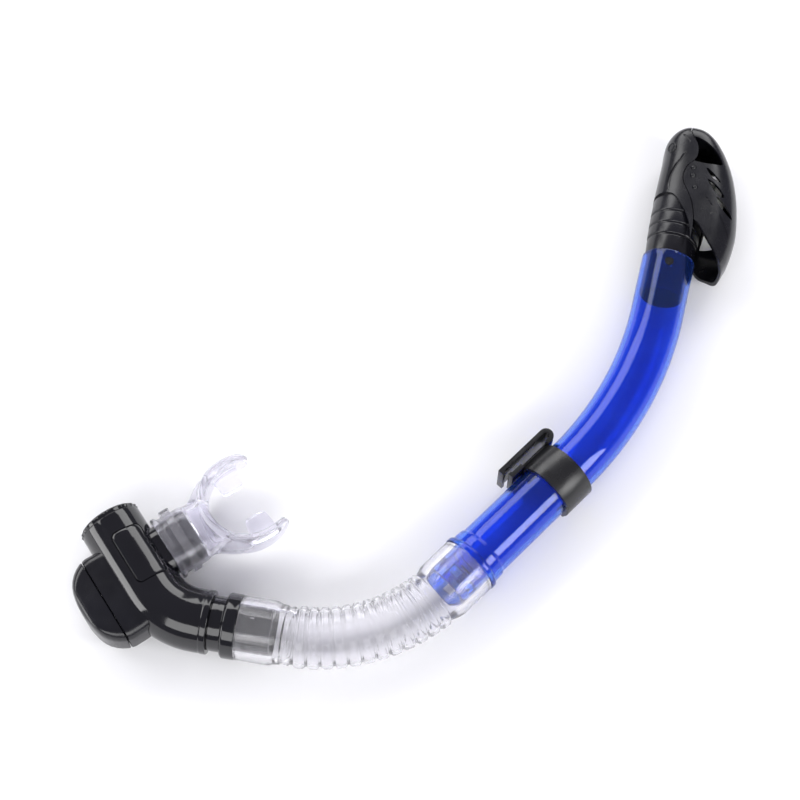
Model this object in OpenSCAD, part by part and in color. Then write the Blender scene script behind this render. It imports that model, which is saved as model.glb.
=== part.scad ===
// Dry-top snorkel lying on its side: barrel tube, dry top, flexible hose, swivelling
// mouthpiece chamber with purge box, and a strap keeper that slides on the tube.
// +X runs along the straight part of the tube towards the dry top, +Z is up.

/* [Frame] */
// Height of every tube axis above the surface the snorkel lies on
axis_h = 14.5; // [14.5:0.1:16]
// Distance from the middle of the whole length to the tube flange, along X
flange_x = -49.5; // [-60:0.1:-45]
// Distance from the middle of the whole width to the tube axis, along Y
flange_y = -58.15; // [-65:0.05:-40]

/* [Barrel tube] */
// Outside diameter of the barrel tube
tube_od = 25; // [24:0.5:26]
// Inside diameter of the barrel tube
tube_id = 21; // [20.5:0.1:21.2]
// Straight length between the flange and the bend
tube_straight = 65; // [60:1:80]
// Radius of the tube's bend
tube_bend_r = 170; // [150:5:200]
// Angle of the tube's bend
tube_bend = 31; // [25:1:36]
// Straight length between the bend and the dry top
tube_top_straight = 27.5; // [26:0.5:32]
// Radius of the flange that the hose cuff butts against
flange_r = 14.5; // [14:0.1:14.5]

/* [Hose] */
// Radius of the smooth cuffs at the hose's ends
cuff_r = 14.2; // [13.8:0.1:14.4]
// Straight length of the hose at the tube's end
hose_straight = 15; // [14:0.5:20]
// Radius of the hose's bend
hose_bend_r = 78; // [70:1:90]
// Angle of the hose's bend
hose_bend = 55; // [45:1:60]
// Straight length of the hose beyond its bend
hose_end_straight = 21.5; // [20:0.5:26]
// Number of corrugations
corrugations = 12; // [10:1:16]

/* [Swivel] */
// Length of the connector's ring flange
ring_len = 6.5; // [5:0.5:8]
// Length of the narrow neck between the ring flange and the elbow
neck_len = 6; // [4:0.5:8]
// Radial running clearance of the swivel and of the keeper
clearance = 0.05; // [0.02:0.01:0.1]

/* [Chamber] */
// Outside radius of the chamber's barrel and elbow
chamber_r = 14; // [13.8:0.1:14.4]
// Wall thickness of the chamber
chamber_wall = 2; // [1.8:0.1:2.4]
// Length of the chamber's straight barrel, end cap included
chamber_len = 39; // [37:0.5:42]
// Centre-line radius of the elbow
elbow_r = 30; // [28:1:34]
// Angle of the elbow
elbow_bend = 47; // [40:1:50]
// Length of the purge box along the chamber
purge_len = 40; // [36:1:42]
// Width of the purge box
purge_w = 19; // [18:0.5:22]
// Distance from the chamber's axis to the purge box's outer face
purge_reach = 31; // [29:0.5:33]

/* [Mouthpiece] */
// Distance from the start of the barrel to the mouthpiece's centre line
mouth_u = 13.3; // [12.5:0.1:14]
// Distance from the chamber's axis to the tips of the bite flange
mouth_reach = 65.5; // [62:0.5:67]
// Height of the bite flange
bite_h = 22; // [18:1:24]

/* [Keeper] */
// Distance from the flange to the near end of the keeper's ring
keeper_x = 48.75; // [44:0.25:49]
// Length of the keeper's ring
keeper_len = 15.5; // [12:0.5:16]
// Width of the strap slot
strap_gap = 2.9; // [2.6:0.1:3.4]

/* [Dry top] */
// Length of the dry top beyond the tube
top_len = 70; // [68:1:72]
// Distance from the tube's axis to the seam between the base and the hood
seam_v = 4.5; // [4:0.5:5]
// Angle through which the float arm swings to shut the valve
valve_lift = 12; // [10:1:12]

/* [Hidden] */
$fn = 64;
eps = 0.01;
lap = 0.4;
lap_step = 0.05;
tube_r = tube_od / 2;
bore_r = tube_id / 2;
spigot_r = 10.4;
spigot_bore = 8.8;
hose_bore = 10.4;
cuff_len = 16;
upper_cuff = 22;
groove_r = 12.2;
crest_r = 13.5;
bearing_len = 6.7;
bearing_r = 11.4;
swivel_gap = 0.3;
chamber_bore = chamber_r - chamber_wall;
cap_t = 2.5;
seat_face = 18;
neck_r = 8.5;
neck_half = 3.8;
neck_reach = 29;
silicone_t = 1.9;
panel_at = 14.2;
panel_turn = 15;
panel_len = 26.5;
panel_w = 15.5;
shell_t = 1.6;
column_r = 12.6;
airway_r = 9;
seat_u = 45;
pivot_u = 46.9;
pivot_v = -13.6;
pin_r = 1;
hood_bulge_r = 72;
hood_bulge_u = 15;
hood_bulge_v = 43;
section_r = 14.4;
section_v = -15;
keeper_wall = 2;
keeper_open = 110;
plate_t = 2;
plate_h = 17;
keeper_from = 39;
keeper_to = 70;
outer_tab = 1;
inner_tab = 0.6;
ring_at = hose_end_straight;
neck_at = ring_at + ring_len;
rim_at = neck_at + neck_len;
elbow_at = rim_at + bearing_len;
window = [4, 5, 5];
tube_window_at = -9;
swivel_window_at = ring_at - 5;
lock_pin_back = 6.5;
purge_u = 5.5;
purge_split = 20;
purge_wall = 2;
port_u = 6;
port_r = 7;
vent_pitch = 4;
tie_at = 20.5;
tie_w = 4;
tie_t = 1.4;
bite_outer_r = 21;
bite_inner_r = 17;
tab_size = [10, 8, 9];
tab_side = 12;

// ---- placing frames ----

// Frame at the tube's flange, +X along the straight part of the tube.
module at_flange() {
    translate([flange_x, flange_y, axis_h]) children();
}

// Frame at the dry top's collar, +X along the dry top, -Y towards the outside of the bend.
module at_top() {
    at_flange()
        translate([tube_straight, tube_bend_r, 0]) rotate([0, 0, tube_bend])
            translate([tube_top_straight, -tube_bend_r, 0]) children();
}

// Frame at the end of the hose's bend, +X along the connector towards the chamber.
module at_connector() {
    at_flange()
        translate([-hose_straight, hose_bend_r, 0]) rotate([0, 0, -hose_bend])
            translate([0, -hose_bend_r, 0]) rotate([0, 0, 180]) children();
}

// Frame at the start of the chamber's barrel, +X towards its end cap, +Y to the purge box.
module at_chamber() {
    at_connector()
        translate([elbow_at, -elbow_r, 0]) rotate([0, 0, -elbow_bend])
            translate([0, elbow_r, 0]) children();
}

// ---- shape helpers ----

// A round bar or bore along +X from one place to another.
module bar(from, to, r) {
    translate([from, 0, 0]) rotate([0, 90, 0]) cylinder(r = r, h = to - from);
}

// A round pipe along +X.
module pipe(from, to, r, bore) {
    difference() {
        bar(from, to, r);
        bar(from - 1, to + 1, bore);
    }
}

// A profile of [place, radius] points turned about the X axis.
module turned(points) {
    rotate([0, 90, 0]) rotate_extrude() polygon([for (p = points) [p[1], p[0]]]);
}

// A round bar bent in the XY plane about the origin, its centre line at the given radius.
module bent_bar(bend_r, sweep, r) {
    rotate_extrude(angle = sweep) translate([bend_r, 0]) circle(r = r);
}

// A rectangle with round corners, centred.
module rounded_rect(w, h, r) {
    square([w, h - 2 * r], center = true);
    square([w - 2 * r, h], center = true);
    for (x = [-1, 1], y = [-1, 1])
        translate([x * (w / 2 - r), y * (h / 2 - r)]) circle(r = r);
}

// A stadium outline, long side along X, centred.
module stadium(half, r) {
    square([2 * half, 2 * r], center = true);
    for (x = [-half, half]) translate([x, 0]) circle(r = r);
}

// ---- barrel tube ----

module tube_solid(r) {
    bar(0, tube_straight, r);
    translate([tube_straight, tube_bend_r, 0]) rotate([0, 0, -90])
        bent_bar(tube_bend_r, tube_bend, r);
    translate([tube_straight, tube_bend_r, 0]) rotate([0, 0, tube_bend])
        translate([0, -tube_bend_r, 0]) bar(-lap, tube_top_straight, r + lap_step);
}

module barrel_tube() {
    color([0.05, 0.2, 0.85, 0.8]) at_flange() difference() {
        union() {
            difference() {
                union() {
                    tube_solid(tube_r);
                    turned([[0, 0], [0, flange_r], [2.2, flange_r], [2.8, 13.4], [8, 13.2],
                            [9, tube_r - 0.2], [9, 0]]);
                }
                tube_solid(bore_r);
            }
            turned([[-15, 0], [-15, spigot_r], [0, spigot_r], [0, bore_r + 0.5],
                    [3, bore_r + 0.5], [3, 0]]);
        }
        bar(-16, 4, spigot_bore);
        tube_windows();
        translate([tube_straight, tube_bend_r, 0]) rotate([0, 0, tube_bend])
            translate([tube_top_straight - lock_pin_back, -tube_bend_r, 0])
                cylinder(r = 2.2, h = 20);
    }
}

// Windows through the spigot, which the silicone of the cuff fills to lock it.
module tube_windows() {
    for (turn = [0:60:300])
        rotate([turn, 0, 0]) translate([tube_window_at, 0, spigot_r]) cube(window, center = true);
}

// ---- dry top ----

// Plan outline of the whole dry top, collar at the origin.
module top_outline() {
    intersection() {
        translate([hood_bulge_u, hood_bulge_v]) circle(r = hood_bulge_r, $fn = 96);
        union() {
            translate([-2, -34]) square([top_len - 12, 47.4]);
            translate([top_len - 16, -2.6]) circle(r = 16);
            translate([top_len - 26, -19]) square([20, 20]);
        }
    }
}

// Cross-section of the dry top, swept along its length: a round side at the tube and
// another at the hood's outer edge.
module top_section(shrink) {
    translate([-10, 0, 0]) rotate([90, 0, 90]) linear_extrude(height = 90) {
        circle(r = 13.4 - shrink);
        translate([section_v, 0]) circle(r = section_r - shrink);
        polygon([[0, 13.4 - shrink], [section_v, section_r - shrink],
                 [section_v, shrink - section_r], [0, shrink - 13.4]]);
    }
}

module top_shape() {
    intersection() {
        translate([0, 0, -20]) linear_extrude(height = 40) top_outline();
        top_section(0);
    }
}

// The space inside the hood and the base's upper housing.
module top_hollow() {
    intersection() {
        translate([-shell_t, 0, -20]) linear_extrude(height = 40)
            intersection() {
                top_outline();
                translate([0, shell_t]) top_outline();
                translate([0, -shell_t]) top_outline();
            }
        top_section(shell_t);
    }
}

module dry_top_base() {
    color([0.1, 0.1, 0.11]) at_top() difference() {
        union() {
            turned([[-20, 0], [-20, bore_r - 0.02], [0, bore_r - 0.02], [0, 12.9],
                    [14, 12.9], [14.6, 12.5], [15.2, 12.9], [20, 12.9], [20.6, 12.5],
                    [21.2, column_r], [seat_u, column_r], [seat_u, 0]]);
            intersection() {
                difference() {
                    top_shape();
                    top_hollow();
                }
                translate([22, -seam_v, -20]) cube([60, 30, 40]);
            }
            pin_ears();
            for (side = [-1, 1])
                translate([56, 4, side * 11.5]) cylinder(r = 2.8, h = 3, center = true);
        }
        bar(-21, seat_u + 1, airway_r);
        translate([-lock_pin_back, 0, 5]) cylinder(r = 1.6, h = 20);
        translate([pivot_u, pivot_v, -12]) cylinder(r = pin_r, h = 24);
    }
}

// Two ears on the column that hold the float arm's pin.
module pin_ears() {
    for (side = [-1, 1])
        translate([0, 0, side * 5 - 1]) linear_extrude(height = 2) {
            translate([pivot_u, pivot_v]) circle(r = 2.4);
            polygon([[pivot_u - 8, -11.6], [pivot_u - 2.2, pivot_v - 1], [pivot_u, pivot_v + 2],
                     [seat_u, -9.6], [pivot_u - 8, -9.6]]);
        }
}

// Everything that is cut out of the hood: the slanted mouth, the air intake and the slots.
module hood_cuts() {
    translate([0, 0, -20]) linear_extrude(height = 40) {
        polygon([[-20, -seam_v - 9], [-1, -25.2], [16, -10], [23, -seam_v], [23, 0], [-20, 0]]);
        polygon([[50.5, -seam_v - 0.5], [50.5, -16], [62, -9.5], [66.5, -seam_v - 0.5]]);
    }
    for (slot = [[46, -10, 44, -19], [39, -12, 35, -22], [30, -17, 25, -25]])
        slanted_slot(slot);
}

module slanted_slot(ends) {
    run = [ends[2] - ends[0], ends[3] - ends[1]];
    translate([ends[0], ends[1], -20]) rotate([0, 0, atan2(run[1], run[0])])
        translate([norm(run) / 2, 0, 0]) linear_extrude(height = 40)
            stadium(norm(run) / 2 - 1, 1);
}

module dry_top_hood() {
    color([0.1, 0.1, 0.11]) at_top() difference() {
        top_shape();
        top_hollow();
        hood_cuts();
        translate([-20, -seam_v, -20]) cube([100, 40, 40]);
        bar(-20, seat_u, 13);
    }
}

// Frame at the float arm's pin, turned to the open position.
module at_pivot() {
    at_top() translate([pivot_u, pivot_v, 0]) rotate([0, 0, -valve_lift]) children();
}

module arm_pin() {
    color("silver") at_top() translate([pivot_u, pivot_v, -6.5]) cylinder(r = pin_r, h = 13);
}

// The lever: one leg over the valve seat, one leg down to the float.
module float_arm() {
    color([0.85, 0.85, 0.82]) at_pivot() difference() {
        union() {
            translate([0, 0, -3.6]) cylinder(r = 2, h = 7.2);
            translate([0.4, 0, -3.6]) cube([1.8, 15, 7.2]);
            translate([0.4, -pivot_v, 0]) rotate([0, 90, 0]) cylinder(r = 7.5, h = 1.8);
            rotate([0, 0, valve_lift]) translate([-16, -4.8, -2.5]) cube([15, 3.8, 5]);
        }
        translate([0, 0, -5]) cylinder(r = pin_r + clearance, h = 10);
        translate([0, -pivot_v, 0]) rotate([0, 90, 0]) cylinder(r = 1.5, h = 5);
    }
}

// Silicone disc that shuts the valve, with a stem that buttons through the arm.
module valve_seal() {
    color([0.9, 0.9, 0.95]) at_pivot() translate([0, -pivot_v, 0]) {
        translate([-1.1, 0, 0]) rotate([0, 90, 0]) cylinder(r = 10.2, h = 1.5);
        bar(0.3, 3.4, 1.5);
        bar(2.2, 3.4, 2.6);
    }
}

// Closed float that hangs beside the column and rises when it is under water.
module float() {
    color([0.8, 0.8, 0.76]) at_top() translate([pivot_u, pivot_v, 0]) difference() {
        intersection() {
            translate([-32, -6.6, -10]) cube([20, 6.4, 20]);
            translate([0, 1.6, 0]) bar(-32, -12, 9.5);
        }
        translate([-16, -4.8, -2.5]) cube([8, 3.8, 5]);
    }
}

module tube_lock_pin() {
    color([0.1, 0.1, 0.11]) at_top() translate([-lock_pin_back, 0, 0]) {
        translate([0, 0, airway_r]) cylinder(r = 1.6, h = bore_r - airway_r + eps);
        translate([0, 0, bore_r]) cylinder(r = 2.1, h = 2.2);
    }
}

// ---- keeper ----

// The ring's wall outside the tube's lower side is open, so that it snaps on.
module snorkel_keeper() {
    color([0.08, 0.08, 0.09]) at_flange() {
        difference() {
            pipe(keeper_x, keeper_x + keeper_len, tube_r + keeper_wall + clearance,
                 tube_r + clearance);
            rotate([0, 90, 0]) linear_extrude(height = 200)
                polygon([[0, 0], [40, 40 * tan(keeper_open / 2)],
                         [40, -40 * tan(keeper_open / 2)]]);
        }
        keeper_bead();
        keeper_plates();
    }
}

// Bead along the ring's free edge.
module keeper_bead() {
    rotate([keeper_open / 2, 0, 0])
        translate([0, 0, -tube_r - keeper_wall / 2 - clearance - 0.3])
            bar(keeper_x, keeper_x + keeper_len, 1.2);
}

// The strap slot: an inner plate on the ring, an outer plate, and a round closed end.
module keeper_plates() {
    inner = tube_r + 0.4;
    outer = inner + plate_t + strap_gap;
    mid = inner + plate_t + strap_gap / 2;
    end_r = strap_gap / 2 + plate_t;
    translate([0, 0, -plate_h / 2]) linear_extrude(height = plate_h) {
        translate([keeper_from + 2, inner]) square([keeper_to - keeper_from - 2 - end_r, plate_t]);
        translate([keeper_from, outer]) square([keeper_to - keeper_from - end_r, plate_t]);
        translate([keeper_from, outer - outer_tab]) square([1.6, plate_t]);
        translate([keeper_from + 2, inner]) square([1.6, plate_t + inner_tab]);
        translate([keeper_to - end_r, mid]) difference() {
            circle(r = end_r);
            circle(r = strap_gap / 2);
            translate([-20, -10]) square([20, 20]);
        }
    }
}

// ---- hose ----

module hose_solid(r) {
    bar(-hose_straight - eps, -eps, r);
    translate([-hose_straight, hose_bend_r, 0]) rotate([0, 0, -90 - hose_bend])
        bent_bar(hose_bend_r, hose_bend, r);
}

module hose() {
    first = upper_cuff - hose_straight;
    last = hose_bend_r * hose_bend * PI / 180 - (cuff_len - ring_at) - 9;
    pitch = (last - first) / corrugations;
    color([0.9, 0.9, 0.97, 0.6]) difference() {
        union() {
            at_flange() {
                hose_solid(groove_r);
                bar(-upper_cuff + 6, -0.05, cuff_r);
            }
            at_connector() bar(ring_at - cuff_len, ring_at - 0.05, cuff_r);
            at_connector() bar(-eps, ring_at - cuff_len + eps, groove_r);
            for (i = [0:corrugations - 1])
                at_flange() translate([-hose_straight, hose_bend_r, 0])
                    rotate([0, 0, -(first + (i + 0.5) * pitch) * 180 / PI / hose_bend_r])
                        translate([0, -hose_bend_r, 0])
                            bar(-pitch * 0.27, pitch * 0.27, crest_r);
        }
        at_flange() hose_solid(hose_bore);
        at_flange() bar(-hose_straight - eps, 1, hose_bore + 0.05);
        at_connector() bar(-eps, ring_at + 1, hose_bore + 0.05);
    }
}

// ---- swivel ----

module swivel_connector() {
    from = ring_at - cuff_len + 1.5;
    color([0.08, 0.08, 0.09]) at_connector() difference() {
        turned([[from, 0], [from, spigot_r], [ring_at, spigot_r], [ring_at, flange_r],
                [neck_at - 0.8, flange_r], [neck_at, flange_r - 0.8], [neck_at, groove_r],
                [rim_at - swivel_gap, groove_r], [rim_at - swivel_gap, bearing_r],
                [rim_at + 1, bearing_r], [rim_at + 1, 10.2], [rim_at + 2.6, 10.2],
                [rim_at + 2.6, bearing_r], [elbow_at + 0.3, bearing_r],
                [elbow_at + 0.3, bearing_r + 0.4], [elbow_at + 1.1, bearing_r],
                [elbow_at + 1.1, 0]]);
        bar(from - 1, elbow_at + 2, spigot_bore);
        for (turn = [0:60:300])
            rotate([turn, 0, 0]) translate([swivel_window_at, 0, spigot_r])
                cube(window, center = true);
    }
}

module swivel_o_ring() {
    color([0.15, 0.15, 0.16]) at_connector() translate([rim_at + 1.8, 0, 0]) rotate([0, 90, 0])
        rotate_extrude() translate([10.82, 0]) circle(r = 0.6);
}

// ---- chamber ----

// Outline of the inset panel on the chamber's upper side.
module panel_cut(gap, r_in, r_out) {
    intersection() {
        pipe(-20, 60, r_out, r_in);
        rotate([panel_turn, 0, 0]) translate([panel_at, 0, 0]) linear_extrude(height = 40)
            rounded_rect(panel_len - 2 * gap, panel_w - 2 * gap, 2.5);
    }
}

module chamber_solid(r) {
    bar(0, chamber_len - cap_t, r);
    translate([0, -elbow_r, 0]) rotate([0, 0, 90]) bent_bar(elbow_r, elbow_bend, r);
    at_elbow_rim() bar(0, bearing_len + lap, r + 2 * lap_step);
}

// Frame at the elbow's rim, +X towards the chamber, inside the chamber's frame.
module at_elbow_rim() {
    translate([0, -elbow_r, 0]) rotate([0, 0, elbow_bend]) translate([-bearing_len, elbow_r, 0])
        children();
}

module chamber_body() {
    color([0.06, 0.06, 0.07]) at_chamber() difference() {
        union() {
            chamber_solid(chamber_r);
            translate([mouth_u, 0, 0]) rotate([90, 0, 0]) linear_extrude(height = neck_reach)
                stadium(neck_half, neck_r);
        }
        bar(0, chamber_len, chamber_bore);
        translate([0, -elbow_r, 0]) rotate([0, 0, 90]) bent_bar(elbow_r, elbow_bend, chamber_bore);
        at_elbow_rim() bar(-1, bearing_len, bearing_r + clearance);
        translate([mouth_u, 0, 0]) rotate([90, 0, 0]) linear_extrude(height = neck_reach + 1)
            stadium(neck_half, neck_r - 1.7);
        translate([port_u, 0, 0]) rotate([-90, 0, 0]) cylinder(r = port_r, h = 20);
        panel_cut(0, chamber_r - 1, chamber_r + 5);
    }
}

module cover_panel() {
    color([0.06, 0.06, 0.07]) at_chamber() panel_cut(0.25, chamber_r - 1, chamber_r + 0.05);
}

// Disc with a knurled edge and a plug that holds an O-ring.
module end_cap() {
    face = chamber_len - cap_t;
    color([0.07, 0.07, 0.08]) at_chamber() {
        difference() {
            turned([[face - 6, 0], [face - 6, chamber_bore - 0.05], [face - 4.2, chamber_bore - 0.05],
                    [face - 4.2, 10.8], [face - 2.6, 10.8], [face - 2.6, chamber_bore - 0.05],
                    [face, chamber_bore - 0.05], [face, chamber_r - 0.2],
                    [chamber_len - 1, chamber_r - 0.2], [chamber_len, chamber_r - 1.2],
                    [chamber_len, 0]]);
            bar(face - 7, face, 9.5);
        }
        for (turn = [0:15:345])
            rotate([turn, 0, 0]) translate([0, 0, chamber_r - 0.5])
                bar(face + 0.3, chamber_len - 0.8, 0.7, $fn = 16);
    }
}

module end_cap_o_ring() {
    color([0.15, 0.15, 0.16]) at_chamber() translate([chamber_len - cap_t - 3.4, 0, 0])
        rotate([0, 90, 0]) rotate_extrude() translate([11.38, 0]) circle(r = 0.56);
}

// ---- purge box ----

// Solid of the purge box between two distances from the chamber's axis.
module purge_block(from, to, inset) {
    intersection() {
        translate([purge_u, from, 0]) rotate([-90, 0, 0]) linear_extrude(height = to - from)
            rounded_rect(purge_len - 2 * inset, purge_w - 2 * inset, 6 - inset);
        translate([purge_u, purge_reach / 2 - inset, -20]) linear_extrude(height = 40)
            rounded_rect(purge_len - 2 * inset, purge_reach, 8 - inset);
    }
}

module purge_housing() {
    color([0.05, 0.05, 0.06]) at_chamber() difference() {
        purge_block(6, purge_split, 0);
        purge_block(-10, purge_split + 10, purge_wall);
        bar(-40, 60, chamber_r);
        translate([0, -elbow_r, 0]) rotate([0, 0, 90]) bent_bar(elbow_r, elbow_bend, chamber_r);
    }
}

// Plate with breathing holes round the membrane's centre peg hole.
module purge_seat() {
    color([0.12, 0.12, 0.13]) at_chamber() difference() {
        purge_block(seat_face - 2, seat_face, purge_wall);
        translate([purge_u, 0, 0]) rotate([-90, 0, 0]) {
            cylinder(r = 1.2, h = 30);
            for (turn = [0:60:300])
                rotate([0, 0, turn]) translate([4.2, 0, 0]) cylinder(r = 1.5, h = 30);
        }
    }
}

module purge_membrane() {
    color([0.9, 0.9, 0.95]) at_chamber() translate([purge_u, 0, 0]) rotate([-90, 0, 0]) {
        translate([0, 0, seat_face + 0.1]) cylinder(r = 7, h = 0.8);
        translate([0, 0, seat_face - 3]) cylinder(r = 1.1, h = 4);
    }
}

module purge_cover() {
    color([0.05, 0.05, 0.06]) at_chamber() difference() {
        purge_block(purge_split, purge_reach, 0);
        purge_block(purge_split - 10, purge_reach - purge_wall, purge_wall);
        for (i = [-3:3])
            translate([purge_u + i * vent_pitch, purge_split + 5, -purge_w / 2])
                cube([1.8, 6, 6], center = true);
    }
}

// ---- mouthpiece ----

module at_mouth() {
    at_chamber() translate([mouth_u, 0, 0]) rotate([0, 0, -90]) children();
}

// Silicone mouthpiece: sleeve on the chamber's neck, flange that curves round the teeth,
// and two bite tabs.
module mouthpiece() {
    color([0.92, 0.9, 0.98, 0.6]) at_mouth() difference() {
        union() {
            rotate([90, 0, 90]) translate([0, 0, chamber_r + 0.6])
                linear_extrude(height = neck_reach + 12 - chamber_r - 0.6)
                    stadium(neck_half, neck_r + silicone_t);
            translate([0, 0, -bite_h / 2]) linear_extrude(height = bite_h) bite_outline();
            for (side = [-1, 1])
                translate([mouth_reach - 11.5, side * tab_side, 0]) rotate([0, 0, side * 8])
                    cube(tab_size, center = true);
        }
        rotate([90, 0, 90]) linear_extrude(height = neck_reach + eps) stadium(neck_half, neck_r);
        rotate([90, 0, 90]) linear_extrude(height = 60) stadium(neck_half, neck_r - 2.2);
    }
}

// Plan of the flange: a horseshoe, open away from the chamber.
module bite_outline() {
    intersection() {
        difference() {
            translate([mouth_reach - 8, 0]) circle(r = bite_outer_r);
            translate([mouth_reach - 6, 0]) circle(r = bite_inner_r);
        }
        translate([30, -30]) square([mouth_reach - 30, 60]);
    }
}

module mouthpiece_tie() {
    color([0.9, 0.9, 0.95, 0.6]) at_mouth() rotate([90, 0, 90]) translate([0, 0, tie_at])
        linear_extrude(height = tie_w) {
            difference() {
                stadium(neck_half, neck_r + silicone_t + tie_t);
                stadium(neck_half, neck_r + silicone_t);
            }
            translate([neck_half + neck_r + silicone_t + 1.2, -2]) square([2, 4]);
        }
}

barrel_tube();
dry_top_base();
dry_top_hood();
float();
float_arm();
valve_seal();
arm_pin();
tube_lock_pin();
snorkel_keeper();
hose();
swivel_connector();
swivel_o_ring();
chamber_body();
end_cap();
end_cap_o_ring();
cover_panel();
purge_housing();
purge_seat();
purge_membrane();
purge_cover();
mouthpiece();
mouthpiece_tie();
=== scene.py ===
"""Looks of the dry-top snorkel: detailed shells, silicone parts and materials round the frame."""
import math

import bmesh
import bpy
from mathutils import Matrix, Vector


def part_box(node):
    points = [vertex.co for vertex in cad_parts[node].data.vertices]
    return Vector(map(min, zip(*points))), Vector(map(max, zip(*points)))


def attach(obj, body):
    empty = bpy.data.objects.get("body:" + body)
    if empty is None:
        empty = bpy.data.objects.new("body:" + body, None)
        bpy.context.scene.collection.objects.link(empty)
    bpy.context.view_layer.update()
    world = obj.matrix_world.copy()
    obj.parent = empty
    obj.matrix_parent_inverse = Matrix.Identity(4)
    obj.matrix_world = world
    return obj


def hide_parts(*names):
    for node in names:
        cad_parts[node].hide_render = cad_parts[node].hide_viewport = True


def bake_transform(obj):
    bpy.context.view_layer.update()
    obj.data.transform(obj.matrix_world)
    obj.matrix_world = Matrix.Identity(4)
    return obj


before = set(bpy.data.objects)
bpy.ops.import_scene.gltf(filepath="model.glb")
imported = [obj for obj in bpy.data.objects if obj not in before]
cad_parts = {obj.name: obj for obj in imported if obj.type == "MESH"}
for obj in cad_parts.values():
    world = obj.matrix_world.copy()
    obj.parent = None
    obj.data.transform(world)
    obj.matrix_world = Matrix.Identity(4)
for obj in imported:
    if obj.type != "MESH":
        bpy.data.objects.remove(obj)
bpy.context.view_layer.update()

MM = 0.001
IDENTITY = Matrix.Identity(4)

# ---------------------------------------------------------------- driving sizes, in millimetres

TUBE_R, TUBE_BORE = 12.5, 10.5
TUBE_STRAIGHT, TUBE_BEND_R, TUBE_BEND, TUBE_TOP = 65.0, 170.0, 31.0, 27.5
FLANGE_R = 14.5
SPIGOT_LEN, SPIGOT_R, SPIGOT_BORE = 15.0, 10.4, 8.8
HOSE_STRAIGHT, HOSE_BEND_R, HOSE_BEND, HOSE_END = 15.0, 78.0, 55.0, 21.5
UPPER_CUFF, LOWER_CUFF, CUFF_R = 22.0, 16.0, 14.2
CORRUGATIONS, CREST_R, ROOT_R, CUFF_BORE = 12, 13.5, 12.3, 10.45
RING_LEN, NECK_LEN, NECK_R = 6.5, 6.0, 12.2
BEARING_LEN, BEARING_R, BEARING_BORE = 6.7, 11.35, 11.45
ELBOW_R, ELBOW_BEND = 30.0, 47.0
CHAMBER_R, CHAMBER_BORE, CHAMBER_LEN, CAP_T = 14.0, 12.0, 39.0, 2.5
MOUTH_U, NECK_HALF, NECK_OUT, NECK_REACH = 13.3, 3.8, 8.5, 29.0
NECK_BORE = NECK_OUT - 1.7
BITE_H = 22.0
PURGE_U, PURGE_W, PURGE_REACH, PURGE_SPLIT = 5.5, 19.0, 31.0, 20.0
KEEPER_X, KEEPER_LEN, KEEPER_WALL, STRAP_GAP = 48.75, 15.5, 2.0, 2.9
ARM_START, OUTER_ARM_START, ARM_END, ARM_HALF_H = 41, 39, 70, 8.5
PANEL_AT, PANEL_TURN, PANEL_LEN, PANEL_W = 14.2, 15.0, 26.5, 15.5
TOP_END, SHELL_T, SEAM_GAP = 71.3, 1.6, 0.4

# ---------------------------------------------------------------- local frames, from the frame

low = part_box("barrel_tube")[0]
AXIS_H = low.z + FLANGE_R * MM
AT_FLANGE = Matrix.Translation((low.x + SPIGOT_LEN * MM, low.y + FLANGE_R * MM, AXIS_H))


def flat_turn(x, y, angle):
    """Frame moved in the plane the snorkel lies in, by millimetres, and turned by degrees."""
    return Matrix.Translation((x * MM, y * MM, 0)) @ Matrix.Rotation(math.radians(angle), 4, "Z")


def route(*legs, heading=0.0):
    """A flat path of straight legs (length,) and bends (radius, turn), as at(s) -> x, y, heading."""
    def at(s):
        x, y, a = 0.0, 0.0, math.radians(heading)
        for i, leg in enumerate(legs):
            last = i == len(legs) - 1
            if len(leg) == 1:
                step = s if last or s < leg[0] else leg[0]
                x, y = x + step * math.cos(a), y + step * math.sin(a)
            else:
                side = 1 if leg[1] > 0 else -1
                length = leg[0] * abs(math.radians(leg[1]))
                step = s if last or s < length else length
                b = a + side * step / leg[0]
                x += side * leg[0] * (math.sin(b) - math.sin(a))
                y -= side * leg[0] * (math.cos(b) - math.cos(a))
                a = b
            s -= step
            if s <= 0:
                break
        return x, y, a
    return at


def frame_at(path, s):
    x, y, a = path(s)
    return flat_turn(x, y, math.degrees(a))


TUBE_PATH = route((TUBE_STRAIGHT,), (TUBE_BEND_R, TUBE_BEND), (TUBE_TOP,))
HOSE_PATH = route((HOSE_STRAIGHT,), (HOSE_BEND_R, -HOSE_BEND), (HOSE_END,), heading=180)
ELBOW_PATH = route((BEARING_LEN,), (ELBOW_R, -ELBOW_BEND), (CHAMBER_LEN,))
TUBE_LEN = TUBE_STRAIGHT + TUBE_BEND_R * math.radians(TUBE_BEND) + TUBE_TOP
HOSE_ARC_END = HOSE_STRAIGHT + HOSE_BEND_R * math.radians(HOSE_BEND)
HOSE_LEN = HOSE_ARC_END + HOSE_END
RIM_AT = HOSE_END + RING_LEN + NECK_LEN
BARREL_AT = BEARING_LEN + ELBOW_R * math.radians(ELBOW_BEND)
AT_TOP = AT_FLANGE @ frame_at(TUBE_PATH, TUBE_LEN)
AT_CONNECTOR = AT_FLANGE @ frame_at(HOSE_PATH, HOSE_ARC_END)
AT_RIM = AT_CONNECTOR @ flat_turn(RIM_AT, 0, 0)
AT_CHAMBER = AT_RIM @ frame_at(ELBOW_PATH, BARREL_AT)
AT_MOUTH = AT_CHAMBER @ flat_turn(MOUTH_U, 0, -90)
STRAIGHT = route((1.0,))

# ---------------------------------------------------------------- mesh helpers


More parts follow.
